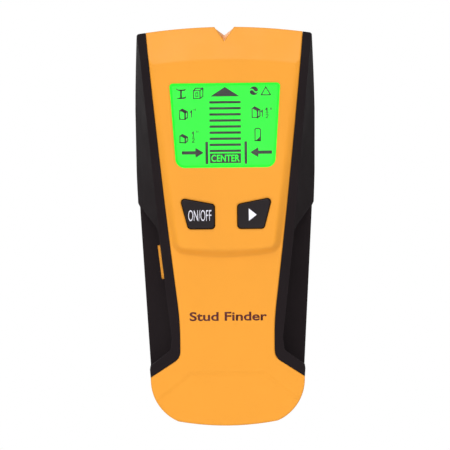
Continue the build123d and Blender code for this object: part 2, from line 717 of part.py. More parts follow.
def snap():
    """Cap that clips on the battery, with its contacts."""
    wide, _, deep = BATTERY
    middle = BATTERY_Z + deep / 2
    along = Plane(origin=(0, BATTERY_Y, middle), x_dir=(1, 0, 0), z_dir=(0, 1, 0))
    cap = along * prism(RectangleRounded(wide - 2, deep - 5, 2.5), 3.1, 5.1)
    cup = prism(Circle(4.1) - Circle(2.95), 0.2, 3.1)
    stud = prism(Circle(2.9), 0.2, 3.1)
    contacts = along * Compound([Pos(-LEAD_X, 0, 0) * cup, Pos(LEAD_X, 0, 0) * stud])
    return cap, contacts


def lead(x):
    """Lead from the battery cap up to the main board."""
    middle = BATTERY_Z + BATTERY[2] / 2
    path = FilletPolyline((x, BATTERY_Y + 5.1, middle), (x, -3.4, middle), (x, -3.4, MAIN_Z), radius=4.0)
    start = Plane(origin=path @ 0, z_dir=path % 0)
    return sweep(start * Circle(0.8), path=path)


# ---------------------------------------------------------------- screws
def screw(x, y, head_radius, head_low, head_high, shaft_radius, shaft_end):
    """A screw with a cross slot, driven from the back if its shaft ends above its head."""
    from_back = shaft_end > head_high
    head = rod(x, y, head_radius, head_low, head_high)
    low, high = sorted((shaft_end, head_high if from_back else head_low))
    shaft = rod(x, y, shaft_radius, low, high)
    depth = (head_high - head_low) / 2
    z0, z1 = (head_low - 1, head_low + depth) if from_back else (head_high - depth, head_high + 1)
    reach = head_radius * 0.6
    slot = block(x - reach, x + reach, y - CROSS_HALF, y + CROSS_HALF, z0, z1)
    slot += block(x - CROSS_HALF, x + CROSS_HALF, y - reach, y + reach, z0, z1)
    return head + shaft - slot


def pieces():
    """Every piece, by name, lying on its back."""
    shell, left, right = front_and_grips()
    can, plate, terminals = battery()
    cap, contacts = snap()
    strip, pins = header()
    core, winding = bobbin_and_coil()
    made = {
        "front_shell": shell,
        "left_grip": left,
        "right_grip": right,
        "rear_shell": rear_shell(),
        "battery_door": battery_door(),
        "lcd_window": lens(),
        "lcd_glass": display_glass(),
        "lcd_backlight": backlight(),
        "lcd_frame": display_frame(),
        "zebra_strip": zebra_strip(),
        "main_pcb": main_pcb(),
        "main_chips": chips(),
        "small_components": small_components(),
        "trimmer": trimmer(),
        "buzzer": buzzer(),
        "header_strip": strip,
        "header_pins": pins,
        "sensor_pcb": sensor_pcb(),
        "sensor_plates": sensor_plates(),
        "coil_bobbin": core,
        "sensor_coil": winding,
        "mode_key_cap": front_key(),
        "mode_plunger": key_plunger(),
        "mode_switch": key_switch(),
        "scan_key_cap": scan_key(),
        "scan_plunger": scan_plunger(),
        "scan_switch": scan_switch(),
        "side_pcb": side_pcb(),
        "battery_case": can,
        "battery_top": plate,
        "battery_terminals": terminals,
        "battery_snap": cap,
        "snap_contacts": contacts,
        "red_lead": lead(-LEAD_X),
        "black_lead": lead(LEAD_X),
        "case_screws": Compound(
            [screw(x, y, CASE_HEAD, 1.2, CASE_HEAD_TOP, CASE_THREAD, CASE_SCREW_END) for x, y in CASE_SCREWS]
        ),
        "board_screws": Compound(
            [
                screw(x, y, BOARD_HEAD, MAIN_TOP, MAIN_TOP + 1.2, BOARD_THREAD, BOARD_SCREW_END)
                for x, y in BOARD_SCREWS
            ]
        ),
    }
    for name in ("key_cap", "plunger", "switch"):
        made["power_" + name] = mirror(made["mode_" + name], about=Plane.YZ)
    return made


if __name__ == "__main__":
    os.makedirs("parts", exist_ok=True)
    for name, shape in pieces().items():
        export_step(stand(shape), f"parts/{name}.step")
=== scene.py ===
import math

import bmesh
import bpy
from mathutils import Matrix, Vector
from mathutils.bvhtree import BVHTree


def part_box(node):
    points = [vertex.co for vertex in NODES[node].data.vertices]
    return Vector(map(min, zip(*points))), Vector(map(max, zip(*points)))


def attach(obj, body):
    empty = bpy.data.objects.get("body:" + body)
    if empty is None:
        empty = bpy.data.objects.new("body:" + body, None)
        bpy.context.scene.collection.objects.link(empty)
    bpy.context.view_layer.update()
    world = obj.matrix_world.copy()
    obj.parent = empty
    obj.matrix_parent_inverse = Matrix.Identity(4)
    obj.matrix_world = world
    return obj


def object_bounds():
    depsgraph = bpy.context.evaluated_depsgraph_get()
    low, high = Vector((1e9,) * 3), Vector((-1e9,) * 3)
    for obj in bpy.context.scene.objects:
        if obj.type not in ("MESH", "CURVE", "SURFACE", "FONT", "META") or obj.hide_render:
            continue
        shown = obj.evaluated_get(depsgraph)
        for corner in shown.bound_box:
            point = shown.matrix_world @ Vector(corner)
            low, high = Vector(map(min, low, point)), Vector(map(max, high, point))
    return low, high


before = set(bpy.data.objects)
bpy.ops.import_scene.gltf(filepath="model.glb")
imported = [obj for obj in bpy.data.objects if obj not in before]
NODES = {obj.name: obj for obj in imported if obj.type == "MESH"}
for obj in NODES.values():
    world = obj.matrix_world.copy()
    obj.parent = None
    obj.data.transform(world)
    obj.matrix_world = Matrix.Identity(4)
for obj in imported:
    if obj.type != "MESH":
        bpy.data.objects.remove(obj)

CAD_LOW, CAD_HIGH = [Vector(corner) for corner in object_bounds()]
MM = 0.001
MICRON = 0.000001
DATUM = 0.5  # millimetres from the middle of the length up to where marks are measured from

# ---------------------------------------------------------------- colours, as sRGB out of 255
ORANGE = (232, 153, 42)
RUBBER = (31, 25, 27)
RUBBER_WORN = (58, 54, 56)
BLACK = (26, 25, 26)
BLACK_WORN = (84, 83, 86)
KEY_BLACK = (27, 20, 23)
KEY_WORN = (72, 66, 69)
LCD_GREEN = (42, 255, 60)
WINDOW_TINT = (250, 255, 250)
SEGMENT = (60, 52, 58)
LEGEND = (236, 234, 246)
MAROON = (84, 10, 6)
SOLDER_MASK = (22, 92, 46)
STEEL = (205, 205, 208)
COPPER = (214, 132, 92)
ENAMEL = (176, 84, 40)
GOLD = (226, 184, 96)
RESIN = (34, 34, 36)
CERAMIC = (150, 116, 82)
FRAME_WHITE = (226, 226, 220)
GUIDE_GREEN = (214, 246, 214)
CONTACT_PINK = (150, 92, 104)
TRIMMER_BLUE = (42, 92, 184)
PLUNGER_CREAM = (226, 220, 206)
VINYL = (32, 32, 33)
VINYL_RED = (190, 26, 22)
VINYL_BLACK = (28, 28, 29)
SLEEVE_COPPER = (176, 116, 52)
SLEEVE_LINE = (222, 222, 226)
SLEEVE_DARK = (30, 34, 52)
SLEEVE_RUBBED = (190, 190, 190)

# ---------------------------------------------------------------- what the materials have in common
TONE_PATCH = 0.03  # size in metres of the patches where a moulding is lighter or darker
GLOSS_PATCH = 0.011  # of those where it is glossier or duller
SMALL_PATCH = 0.004  # of those where its edges are rubbed more or less, and of dull spots on metal
GRAIN_SHARE = 0.35  # how much of the darker tone the hollows of the grain take
GLOSS_RANGE = 0.05  # how far the roughness strays either way
RUB_GLOSS = 0.2  # how much smoother a fully rubbed edge is
RUB_TONE = 1.35  # how much lighter it is, where no worn colour is given
EDGE_SURE = 0.8  # cosine of the turn between the rounded and flat normals on a sure edge
EDGE_NONE = 0.995  # and where there is no edge
BEVEL_SAMPLES = 4


def linear(colour):
    """An sRGB colour out of 255 as the linear RGBA that shaders take."""
    out = []
    for value in colour:
        share = value / 255
        out.append(share / 12.92 if share <= 0.04045 else ((share + 0.055) / 1.055) ** 2.4)
    return (*out, 1.0)


def toned(colour, factor):
    """A linear colour made lighter or darker."""
    return (*[min(1.0, value * factor) for value in colour[:3]], 1.0)


# ---------------------------------------------------------------- materials
class Shade:
    """A node material being put together."""

    def __init__(self, name):
        self.mat = bpy.data.materials.new(name)
        self.mat.use_nodes = True
        self.tree = self.mat.node_tree
        self.bsdf = self.tree.nodes["Principled BSDF"]
        self.where = self.add("ShaderNodeTexCoord").outputs["Object"]

    def add(self, kind, **values):
        """A node of that kind; a value whose name starts with _ is an attribute, any other an input."""
        node = self.tree.nodes.new(kind)
        for key, value in values.items():
            if key[0] == "_":
                setattr(node, key[1:], value)
            else:
                node.inputs[key.replace("_", " ")].default_value = value
        return node

    def link(self, out, into):
        self.tree.links.new(out, into)

    def noise(self, size, detail=2.0, roughness=0.5, where=None):
        """Noise whose features are about size metres across."""
        node = self.add("ShaderNodeTexNoise", Scale=1 / size, Detail=detail, Roughness=roughness)
        self.link(where or self.where, node.inputs["Vector"])
        return node.outputs["Fac"]

    def spread(self, value, low, high, start=0.3, end=0.7):
        """value, mapped from start to end onto low to high."""
        node = self.add("ShaderNodeMapRange")
        self.link(value, node.inputs["Value"])
        for name, number in (("From Min", start), ("From Max", end), ("To Min", low), ("To Max", high)):
            node.inputs[name].default_value = number
        return node.outputs["Result"]

    def mix(self, share, first, second):
        """A colour between first and second; either may be a colour or a socket."""
        node = self.add("ShaderNodeMix", _data_type="RGBA")
        self.link(share, node.inputs["Factor"])
        colour_a, colour_b = node.inputs[6], node.inputs[7]
        for value, socket in ((first, colour_a), (second, colour_b)):
            if isinstance(value, tuple):
                socket.default_value = value
            else:
                self.link(value, socket)
        return node.outputs[2]

    def math(self, operation, first, second):
        """One step of arithmetic; either value may be a number or a socket."""
        node = self.add("ShaderNodeMath", _operation=operation)
        for value, socket in zip((first, second), node.inputs):
            if isinstance(value, (int, float)):
                socket.default_value = value
            else:
                self.link(value, socket)
        return node.outputs["Value"]

    def edges(self, radius):
        """(rounded normal, how much of an edge this is) for edges of about that radius."""
        bevel = self.add("ShaderNodeBevel", Radius=radius, _samples=BEVEL_SAMPLES)
        flat = self.add("ShaderNodeNewGeometry").outputs["True Normal"]
        dot = self.add("ShaderNodeVectorMath", _operation="DOT_PRODUCT")
        self.link(bevel.outputs["Normal"], dot.inputs[0])
        self.link(flat, dot.inputs[1])
        return bevel.outputs["Normal"], self.spread(dot.outputs["Value"], 1.0, 0.0, EDGE_SURE, EDGE_NONE)

    def bump(self, height, distance, normal=None):
        """The normal of a surface with that relief, distance metres deep."""
        node = self.add("ShaderNodeBump", Strength=1.0, Distance=distance)
        self.link(height, node.inputs["Height"])
        if normal is not None:
            self.link(normal, node.inputs["Normal"])
        return node.outputs["Normal"]

    def use(self, **sockets):
        """Values or sockets for the shader's own inputs."""
        for key, value in sockets.items():
            socket = self.bsdf.inputs[key.replace("_", " ")]
            if hasattr(value, "is_linked"):
                self.link(value, socket)
            else:
                socket.default_value = value
        return self.mat


def moulded(name, colour, rough, grain, depth, uneven, wear, edge=0.3, worn=None, soft=None, **extra):
    """Moulded plastic or rubber: fine spark-eroded grain, uneven tone and gloss, edges rubbed lighter.

    grain is the size of the grain in millimetres and depth its depth in microns. edge is the radius in
    millimetres of the rubbed edges, and soft the radius over which edges look rounded, where that is more.
    """
    shade = Shade(name)
    base = linear(colour)
    patches = shade.spread(shade.noise(TONE_PATCH, 3.0), 0, 1)
    tone = shade.mix(patches, toned(base, 1 - uneven), toned(base, 1 + uneven))
    fine = shade.noise(grain * MM, 4.0, 0.6)
    tone = shade.mix(shade.spread(fine, 0.0, GRAIN_SHARE), tone, toned(base, 1 - 2 * uneven))
    rounded, edge_mask = shade.edges(edge * MM)
    patchy = shade.spread(shade.noise(SMALL_PATCH, 4.0, 0.7), 0.3, 1.0)
    rubbed = shade.math("MULTIPLY", shade.math("MULTIPLY", edge_mask, patchy), wear)
    tone = shade.mix(rubbed, tone, linear(worn) if worn else toned(base, RUB_TONE))
    gloss = shade.spread(shade.noise(GLOSS_PATCH, 3.0), rough - GLOSS_RANGE, rough + GLOSS_RANGE)
    gloss = shade.math("SUBTRACT", gloss, shade.math("MULTIPLY", rubbed, RUB_GLOSS))
    if soft is not None:
        rounded = shade.edges(soft * MM)[0]
    normal = shade.bump(fine, depth * MICRON, rounded)
    return shade.use(Base_Color=tone, Roughness=gloss, Normal=normal, **extra)


def metal(name, colour, rough, brushed=(1, 1, 1), grain=0.2):
    """Metal with fine drawn or turned marks grain millimetres wide and a few duller patches."""
    shade = Shade(name)
    base = linear(colour)
    stretch = shade.add("ShaderNodeMapping")
    shade.link(shade.where, stretch.inputs["Vector"])
    stretch.inputs["Scale"].default_value = brushed
    marks = shade.noise(grain * MM, 3.0, 0.7, stretch.outputs["Vector"])
    tone = shade.mix(shade.spread(shade.noise(SMALL_PATCH, 3.0), 0, 1), toned(base, 0.82), base)
    rounded, edge_mask = shade.edges(0.1 * MM)
    tone = shade.mix(shade.math("MULTIPLY", edge_mask, 0.4), tone, toned(base, 1.3))
    gloss = shade.spread(marks, rough - 0.08, rough + 0.12)
    normal = shade.bump(marks, 10 * MICRON, rounded)
    return shade.use(Base_Color=tone, Metallic=1.0, Roughness=gloss, Normal=normal)


def board():
    """Solder mask over copper tracks."""
    shade = Shade("board_mask")
    mask = linear(SOLDER_MASK)
    track = shade.add("ShaderNodeTexBrick", Scale=260.0, Mortar_Size=0.03, _offset=0.35)
    shade.link(shade.where, track.inputs["Vector"])
    for key, value in (("Color1", (0, 0, 0, 1)), ("Color2", (0, 0, 0, 1)), ("Mortar", (1, 1, 1, 1))):
        track.inputs[key].default_value = value
    tone = shade.mix(track.outputs["Fac"], mask, toned(mask, 1.7))
    tone = shade.mix(shade.spread(shade.noise(0.02), 0, 0.4), tone, toned(mask, 0.7))
    gloss = shade.spread(shade.noise(0.005), 0.25, 0.4)
    return shade.use(Base_Color=tone, Roughness=gloss, Normal=shade.bump(track.outputs["Fac"], 40 * MICRON))


def battery_skin():
    """Printed metal sleeve in two colours with a thin pale line between them."""
    shade = Shade("battery_sleeve")
    low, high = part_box("battery_case")
    split = shade.add("ShaderNodeSeparateXYZ")
    shade.link(shade.where, split.inputs["Vector"])
    along = shade.spread(split.outputs["Z"], 0.0, 1.0, low[2], high[2])
    ramp = shade.add("ShaderNodeValToRGB")
    ramp.color_ramp.interpolation = "CONSTANT"
    stops = ((0.0, SLEEVE_COPPER), (0.24, SLEEVE_LINE), (0.27, SLEEVE_DARK))
    for index, (place, colour) in enumerate(stops):
        there = ramp.color_ramp.elements
        stop = there[index] if index < len(there) else there.new(place)
        stop.position = place
        stop.color = linear(colour)
    shade.link(along, ramp.inputs["Fac"])
    rounded, edge_mask = shade.edges(0.3 * MM)
    rubbed = shade.math("MULTIPLY", edge_mask, 0.5)
    tone = shade.mix(rubbed, ramp.outputs["Color"], linear(SLEEVE_RUBBED))
    gloss = shade.spread(shade.noise(0.006, 3.0), 0.22, 0.36)
    normal = shade.bump(shade.noise(1.5 * MM, 3.0), 20 * MICRON, rounded)
    return shade.use(Base_Color=tone, Metallic=0.35, Roughness=gloss, Normal=normal)


def glowing(name, colour, strength):
    """Lit display: a glow that is a little weaker in places, over a fine weave."""
    shade = Shade(name)
    base = linear(colour)
    weave = shade.noise(0.4 * MM, 2.0)
    return shade.use(
        Base_Color=toned(base, 0.25),
        Emission_Color=shade.mix(shade.spread(shade.noise(TONE_PATCH, 1.0), 0, 1), toned(base, 0.9), base),
        Emission_Strength=strength,
        Roughness=shade.spread(weave, 0.3, 0.45),
        Normal=shade.bump(weave, 10 * MICRON),
    )


def clear(name, tint, rough):
    """Clear moulded pane with a faint haze of fine scratches."""
    shade = Shade(name)
    scratches = shade.noise(1.2 * MM, 5.0, 0.75)
    return shade.use(
        Base_Color=linear(tint),
        Transmission_Weight=1.0,
        IOR=1.2,
        Roughness=shade.spread(scratches, rough, rough + 0.05, 0.5, 0.8),
        Normal=shade.bump(shade.noise(0.02, 1.0), 20 * MICRON),
    )


def ink(name, colour, rough):
    """Printed ink: slightly uneven cover."""
    shade = Shade(name)
    base = linear(colour)
    cover = shade.noise(0.6 * MM, 4.0, 0.7)
    tone = shade.mix(shade.spread(cover, 0, 1), toned(base, 0.92), toned(base, 1.08))
    gloss = shade.spread(cover, rough - 0.06, rough + 0.06)
    return shade.use(Base_Color=tone, Roughness=gloss, Normal=shade.bump(cover, 4 * MICRON))


orange = moulded(
    "orange_shell", ORANGE, rough=0.46, grain=0.22, depth=12, uneven=0.025, wear=0.3, soft=1.1,
    Specular_IOR_Level=0.3,
)
rubber = moulded(
    "grip_rubber", RUBBER, rough=0.8, grain=0.3, depth=30, uneven=0.1, wear=0.5, edge=0.6, worn=RUBBER_WORN,
    Specular_IOR_Level=0.08,
)
rear_black = moulded(
    "rear_plastic", BLACK, rough=0.5, grain=0.4, depth=30, uneven=0.08, wear=0.35, worn=BLACK_WORN,
)
key_black = moulded(
    "key_plastic", KEY_BLACK, rough=0.5, grain=0.18, depth=8, uneven=0.06, wear=0.3, worn=KEY_WORN,
    Specular_IOR_Level=0.2,
)
glow = glowing("display_glow", LCD_GREEN, 1.0)
lens = clear("window_clear", WINDOW_TINT, 0.02)
segment = ink("display_segment", SEGMENT, 0.5)
legend = ink("legend_white", LEGEND, 0.45)
maroon = ink("print_maroon", MAROON, 0.5)
green_board = board()
sleeve = battery_skin()
steel = metal("plated_steel", STEEL, 0.28, brushed=(1, 1, 8))
copper = metal("copper_foil", COPPER, 0.3)
winding = metal("enamelled_wire", ENAMEL, 0.25, grain=0.3)
gold = metal("pin_plating", GOLD, 0.25)
chip = moulded("chip_resin", RESIN, rough=0.6, grain=0.1, depth=6, uneven=0.1, wear=0.2)
ceramic = moulded("component_ceramic", CERAMIC, rough=0.4, grain=0.15, depth=5, uneven=0.15, wear=0.3)
white_plastic = moulded("frame_plastic", FRAME_WHITE, rough=0.4, grain=0.2, depth=10, uneven=0.03, wear=0.3)
guide = moulded("light_guide", GUIDE_GREEN, rough=0.15, grain=0.4, depth=10, uneven=0.03, wear=0.1)
pink_rubber = moulded("contact_rubber", CONTACT_PINK, rough=0.7, grain=0.2, depth=20, uneven=0.08, wear=0.2)
blue_plastic = moulded(
    "trimmer_plastic", TRIMMER_BLUE, rough=0.35, grain=0.2, depth=10, uneven=0.06, wear=0.3,
)
cream_plastic = moulded(
    "plunger_plastic", PLUNGER_CREAM, rough=0.4, grain=0.2, depth=10, uneven=0.04, wear=0.3,
)
vinyl = moulded("snap_vinyl", VINYL, rough=0.45, grain=0.3, depth=20, uneven=0.08, wear=0.2)
red_vinyl = moulded("red_insulation", VINYL_RED, rough=0.35, grain=0.4, depth=10, uneven=0.06, wear=0.2)
black_vinyl = moulded(
    "black_insulation", VINYL_BLACK, rough=0.35, grain=0.4, depth=10, uneven=0.06, wear=0.2,
)

FINISH = {
    "front_shell": orange, "scan_key_cap": orange,
    "left_grip": rubber, "right_grip": rubber,
    "rear_shell": rear_black, "battery_door": rear_black,
    "power_key_cap": key_black, "mode_key_cap": key_black,
    "lcd_glass": glow, "lcd_window": lens, "lcd_backlight": guide, "lcd_frame": white_plastic,
    "zebra_strip": pink_rubber,
    "main_pcb": green_board, "sensor_pcb": green_board, "side_pcb": green_board,
    "main_chips": chip, "small_components": ceramic, "trimmer": blue_plastic, "buzzer": chip,
    "header_strip": chip, "header_pins": gold, "sensor_plates": copper,
    "coil_bobbin": chip, "sensor_coil": winding,
    "power_plunger": cream_plastic, "mode_plunger": cream_plastic, "scan_plunger": cream_plastic,
    "power_switch": chip, "mode_switch": chip, "scan_switch": chip,
    "battery_case": sleeve, "battery_top": vinyl, "battery_terminals": steel,
    "battery_snap": vinyl, "snap_contacts": steel, "red_lead": red_vinyl, "black_lead": black_vinyl,
    "case_screws": steel, "board_screws": steel,
}
for node, obj in NODES.items():
    for place in obj.material_slots:
        place.material = FINISH[node]


# ---------------------------------------------------------------- flat shapes, in (x, z) millimetres
def rect(x0, x1, z0, z1):
    return [(x0, z0), (x1, z0), (x1, z1), (x0, z1)]


def stroke(points, width, closed=False):
    """Strips of that width along straight lines between points."""
    pairs = list(zip(points, points[1:]))
    if closed:
        pairs.append((points[-1], points[0]))
    made = []
    for (xa, za), (xb, zb) in pairs:
        length = math.hypot(xb - xa, zb - za)
        ux, uz = (xb - xa) / length * width / 2, (zb - za) / length * width / 2
        made.append([
            (xa - ux - uz, za - uz + ux), (xb + ux - uz, zb + uz + ux),
            (xb + ux + uz, zb + uz - ux), (xa - ux + uz, za - uz - ux),
        ])
    return made


def placed(shapes, x, z):
    """The shapes, drawn about their own origin, with that origin put at (x, z)."""
    return [[(x + a, z + b) for a, b in shape] for shape in shapes]


# ---------------------------------------------------------------- from flat shapes to pieces
def finish_piece(name, mesh, material, body):
    """The mesh as an object that rides on a body."""
    mesh.materials.clear()
    mesh.materials.append(material)
    piece = bpy.data.objects.new(name, mesh)
    bpy.context.scene.collection.objects.link(piece)
    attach(piece, body)


def raised(work, depth):
    """Gives flat faces a thickness: each front vertex gets a twin depth metres behind it."""
    bmesh.ops.remove_doubles(work, verts=work.verts, dist=1e-7)
    bmesh.ops.recalc_face_normals(work, faces=work.faces)
    for face in work.faces:
        if face.normal.y > 0:
            face.normal_flip()
    made = bmesh.ops.extrude_face_region(work, geom=work.faces[:], use_keep_orig=True)
    for item in made["geom"]:
        if isinstance(item, bmesh.types.BMVert):
            item.co.y += depth
    bmesh.ops.recalc_face_normals(work, faces=work.faces)


def shapes_mesh(name, shapes, front, depth):
    """Flat shapes, each a closed list of (x, z), from the plane y = front to depth metres behind it."""
    work = bmesh.new()
    for shape in shapes:
        corners = [work.verts.new((x * MM, front, (z + DATUM) * MM)) for x, z in shape]
        back = [work.verts.new((x * MM, front + depth, (z + DATUM) * MM)) for x, z in shape]
        work.faces.new(corners)
        work.faces.new(back)
        for i in range(len(shape)):
            work.faces.new((corners[i - 1], corners[i], back[i], back[i - 1]))
    bmesh.ops.recalc_face_normals(work, faces=work.faces)
    mesh = bpy.data.meshes.new(name)
    work.to_mesh(mesh)
    work.free()
    return mesh


def lettering(name, words, box, weight):
    """Plain letters as flat triangles that fill box, (x0, x1, z0, z1), on the plane y = 0."""
    curve = bpy.data.curves.new(name, "FONT")
    curve.body = words
    curve.resolution_u = 6
    curve.offset = weight
    holder = bpy.data.objects.new(name, curve)
    bpy.context.scene.collection.objects.link(holder)
    bpy.context.view_layer.update()
    flat = bpy.data.meshes.new_from_object(holder.evaluated_get(bpy.context.evaluated_depsgraph_get()))
    bpy.data.objects.remove(holder)
    bpy.data.curves.remove(curve)
    across = [vertex.co.x for vertex in flat.vertices]
    upward = [vertex.co.y for vertex in flat.vertices]
    left, wide = min(across), max(across) - min(across)
    foot, high = min(upward), max(upward) - min(upward)
    x0, x1, z0, z1 = box
    for vertex in flat.vertices:
        x = x0 + (vertex.co.x - left) / wide * (x1 - x0)
        z = z0 + (vertex.co.y - foot) / high * (z1 - z0)
        vertex.co = (x * MM, 0, (z + DATUM) * MM)
    return flat


def laid_flat(mesh, front, depth):
    """Puts a flat mesh on the plane y = front and gives it a thickness."""
    work = bmesh.new()
    work.from_mesh(mesh)
    for vertex in work.verts:
        vertex.co.y = front
    raised(work, depth)
    work.to_mesh(mesh)
    work.free()
    return mesh


def laid_on(mesh, node, proud, depth):
    """Lays a flat mesh on the front of a CAD node, proud metres above it, and gives it a thickness."""
    source = NODES[node].data
    points = [vertex.co[:] for vertex in source.vertices]
    tree = BVHTree.FromPolygons(points, [face.vertices[:] for face in source.polygons])
    ahead = CAD_LOW.y - 0.01
    work = bmesh.new()
    work.from_mesh(mesh)
    for vertex in work.verts:
        hit = tree.ray_cast(Vector((vertex.co.x, ahead, vertex.co.z)), Vector((0, 1, 0)))[0]
        vertex.co.y = hit.y - proud
    raised(work, depth)
    work.to_mesh(mesh)
    work.free()
    return mesh


# ---------------------------------------------------------------- display
ICON_LINE = 0.44  # width of the icons' lines, in millimetres
THIN_LINE = 0.7 * ICON_LINE
INK_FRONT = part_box("lcd_glass")[0][1] - 0.07 * MM
INK_DEPTH = 0.06 * MM
WORD_PROUD = 0.02 * MM  # how far the lit word stands in front of its dark box
WORD_DEPTH = 0.03 * MM

BAR_HALF = 6.45  # half the length of a bar of the scale
BAR_THICK = 1.0
BAR_PITCH = 2.49
BAR_FIRST = 30.4  # height of the lowest bar
BARS = 9
SCALE_TIP = [(-6.05, 52.7), (6.05, 52.7), (0, 56.6)]
GUIDE_LOW, GUIDE_HIGH = 25.0, 34.2
CENTRE_BOX = (-6.35, 6.35, 25.35, 29.35)
CENTRE_WORD = (-5.8, 5.8, 25.95, 28.85)

ARROW_Z = 29.7
ARROW_LONG = 9.0
ARROW_HEAD = 3.4  # length of its head
ARROW_HEAD_HALF = 2.1
ARROW_SHAFT_HALF = 0.68


def display(name, shapes):
    """Dark segments on the display glass, under the window."""
    mesh = shapes_mesh(name, shapes, INK_FRONT, INK_DEPTH)
    finish_piece(name, mesh, segment, "housing")


def arrow(tip, side):
    """Arrow pointing towards the display's middle, its tip at x = tip."""
    neck, tail = tip - side * ARROW_HEAD, tip - side * ARROW_LONG
    low, high = ARROW_Z - ARROW_SHAFT_HALF, ARROW_Z + ARROW_SHAFT_HALF
    return [
        (tip, ARROW_Z), (neck, ARROW_Z + ARROW_HEAD_HALF), (neck, high), (tail, high),
        (tail, low), (neck, low), (neck, ARROW_Z - ARROW_HEAD_HALF),
    ]


def beam_icon():
    """End of a steel beam: two flanges and the web between them."""
    top = [(-2.0, 2.3), (-1.2, 1.7), (1.4, 1.7), (2.1, 2.4), (1.8, 1.2), (0.7, 1.1), (-0.6, 1.1), (-2.0, 1.6)]
    foot = [(-2.0, -1.9), (-0.6, -1.6), (0.7, -1.6), (2.0, -1.1), (2.1, -1.7), (1.4, -2.2), (-1.3, -2.2)]
    return [top, rect(-0.35, 0.4, -1.7, 1.3), foot]


def box_icon():
    """Hollow box seen from its corner."""
    front = stroke([(0, 3.3), (0, 0), (2.6, 0), (2.6, 3.3)], ICON_LINE, closed=True)
    lid = stroke([(0, 3.3), (0.9, 4.3), (3.8, 4.3), (2.6, 3.3)], ICON_LINE)
    side = stroke([(3.8, 4.3), (3.8, 1.0), (2.6, 0)], ICON_LINE)
    hollow = stroke([(0.9, 2.4), (0.9, 0.9), (1.7, 0.9), (1.7, 2.4)], THIN_LINE, closed=True)
    return front + lid + side + hollow


def disc_wave(radius, wave=0.62, gap=0.28, steps=16):
    """Disc parted by an S-shaped wave."""
    halves = []
    for side in (1, -1):
        across = [-1 + 2 * i / steps for i in range(steps + 1)]
        parting = [(u * radius * 0.97, side * gap - wave * math.sin(u * math.pi)) for u in across]
        turn = [math.pi * i / steps for i in range(1, steps)]
        rim = [(radius * math.cos(a), side * radius * math.sin(a)) for a in turn]
        halves.append(parting + rim)
    return halves


def cell_icon():
    """Battery cell, nearly empty."""
    outline = stroke([(0, 0), (2.2, 0), (2.2, 4.6), (1.7, 5.1), (0.5, 5.1), (0, 4.6)], ICON_LINE, closed=True)
    return outline + [[(0.1, 0), (2.2, 0), (2.2, 1.8)]]


def stud_icon(x, low, high):
    """Upright board seen from its corner, its cut end filled in."""
    end = high - 0.9
    corner, far = x + 2.2, x + 3.2
    outline = stroke([(x, end), (x, low), (corner, low), (far, low + 0.7), (far, end - 0.5)], ICON_LINE)
    post = stroke([(corner, low), (corner, end - 1.3)], 1.5 * ICON_LINE)
    top = [(x - 0.1, end), (x + 1.0, high), (far + 0.15, end - 0.35), (corner + 0.2, end - 1.35)]
    return [*outline, *post, top]


def one(x, low, high):
    """The figure 1, its stem at x."""
    return stroke([(x - 0.5, high - 0.55), (x, high), (x, low)], ICON_LINE)


def two(x, low, high, half=0.5):
    """The figure 2, centred on x."""
    bend = high - half
    turn = [(x + half * math.cos(a), bend + half * math.sin(a)) for a in (3.0, 2.2, 1.4, 0.6, -0.2)]
    return stroke([*turn, (x - half, low), (x + half, low)], THIN_LINE)


def inch_marks(x, high):
    """Two short strokes after a figure."""
    return [rect(x + step, x + step + 0.32, high - 1.0, high) for step in (0, 0.62)]


def make_display():
    """The segments: scale, guides, centre box, icons, pictures of studs and their depths."""
    heights = [BAR_FIRST + BAR_PITCH * i for i in range(BARS)]
    bars = [rect(-BAR_HALF, BAR_HALF, z - BAR_THICK / 2, z + BAR_THICK / 2) for z in heights]
    display("display_scale", [*bars, SCALE_TIP])
    guides = [rect(-8.2, -7.1, GUIDE_LOW, GUIDE_HIGH), rect(7.8, 8.9, GUIDE_LOW, GUIDE_HIGH)]
    display("display_guides", [*guides, arrow(-8.9, 1), arrow(10.1, -1)])
    display("display_centre", [rect(*CENTRE_BOX)])
    icons = placed(beam_icon(), -18.0, 54.0) + placed(box_icon(), -12.8, 51.9)
    icons += placed(disc_wave(1.8), 11.9, 54.9)
    icons += stroke([(14.9, 53.2), (18.7, 53.2), (16.8, 56.4)], ICON_LINE, closed=True)
    icons += placed(cell_icon(), 12.2, 34.4)
    display("display_icons", icons)
    studs = stud_icon(-18.6, 43.5, 48.0) + stud_icon(-18.6, 33.9, 37.6) + stud_icon(11.1, 43.9, 48.6)
    display("display_studs", studs)
    whole = one(-13.7, 44.4, 46.9) + inch_marks(-12.9, 47.9)
    half = one(-13.1, 36.7, 38.3) + [rect(-13.9, -12.4, 36.1, 36.35)] + two(-13.15, 34.0, 35.7)
    half += inch_marks(-11.9, 38.9)
    whole_and_half = one(15.3, 44.4, 46.9) + one(17.2, 46.3, 47.8) + [rect(16.5, 17.9, 45.75, 46.0)]
    whole_and_half += two(17.2, 43.7, 45.3) + inch_marks(18.4, 48.0)
    display("display_figures", whole + half + whole_and_half)
    word = lettering("display_word", "CENTER", CENTRE_WORD, 0.02)
    word = laid_flat(word, INK_FRONT - WORD_PROUD, WORD_DEPTH)
    finish_piece("display_word", word, glow, "housing")


# ---------------------------------------------------------------- marks on the keys and the handle
MARK_DEPTH = 0.08 * MM
LEGEND_PROUD = 0.02 * MM
PRINT_PROUD = 0.04 * MM
POWER_BOX = (-15.5, -6.0, 1.7, 6.2)
MODE_POINTER = ((9.3, 1.6), (12.5, 4.1), (9.3, 6.7))
PRINT_BOX = (-15.4, 16.3, -39.3, -35.6)


